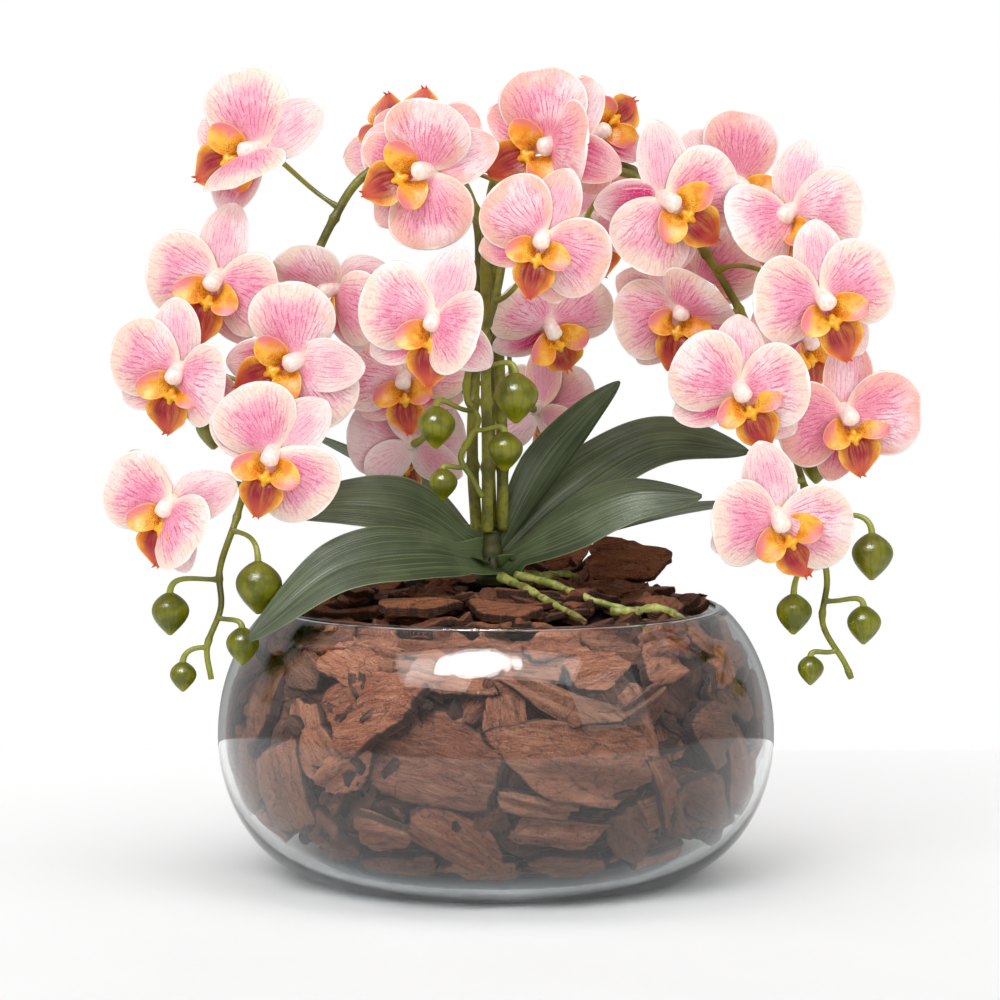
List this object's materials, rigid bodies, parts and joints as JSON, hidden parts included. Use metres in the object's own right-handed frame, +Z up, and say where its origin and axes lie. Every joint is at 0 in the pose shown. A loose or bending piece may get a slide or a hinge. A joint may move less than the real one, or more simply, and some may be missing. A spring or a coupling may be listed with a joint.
{
  "type": "potted orchid",
  "caption": "Moth orchid with arching sprays of open flowers and hanging buds, strap leaves and aerial roots, rooted in bark chips in a squat clear glass bowl.",
  "frame": {"origin": "centre of the bowl's flat foot, on the surface that it stands on", "axes": "+Z up, -Y towards the side that most of the flowers face, +X to the right as seen from that side"},
  "size_m": [0.3681, 0.26, 0.3741],
  "materials": {
    "glass": "clear polished",
    "bark": "rough flaked pine bark",
    "crown": "satin plant stem",
    "leaf": "waxy dark grey green leaf",
    "root": "dull yellow green root",
    "stem": "satin olive green stem and buds",
    "flower": "soft veined pink petals with an orange and magenta lip"
  },
  "bodies": {
    "root": {"glass_bowl": "glass", "bark_bed": "bark", "bark_chip_1": "bark", "bark_chip_2": "bark", "bark_chip_3": "bark", "bark_chip_4": "bark", "bark_chip_5": "bark", "bark_chip_6": "bark", "bark_chip_7": "bark", "bark_chip_8": "bark", "crown": "crown", "leaf_left_front": "leaf", "leaf_left_middle": "leaf", "leaf_left_back": "leaf", "leaf_upright": "leaf", "leaf_right_back": "leaf", "leaf_right_front": "leaf", "leaf_right_low": "leaf", "aerial_root_1": "root", "aerial_root_2": "root", "aerial_root_3": "root", "aerial_root_4": "root", "spike_left": "stem", "flower_left_1": "flower", "flower_left_2": "flower", "flower_left_3": "flower", "flower_left_4": "flower", "flower_left_5": "flower", "flower_left_6": "flower", "flower_left_7": "flower", "spike_right": "stem", "flower_right_1": "flower", "flower_right_2": "flower", "flower_right_3": "flower", "flower_right_4": "flower", "flower_right_5": "flower", "flower_right_6": "flower", "flower_right_7": "flower", "spike_centre": "stem", "flower_centre_1": "flower", "flower_centre_2": "flower", "flower_centre_3": "flower", "flower_centre_4": "flower", "spike_back": "stem", "flower_back_1": "flower", "flower_back_2": "flower", "flower_back_3": "flower", "flower_back_4": "flower", "flower_back_5": "flower", "flower_back_6": "flower", "flower_back_7": "flower", "flower_back_8": "flower", "flower_back_9": "flower", "flower_back_10": "flower", "flower_back_11": "flower"}
  },
  "joints": []
}
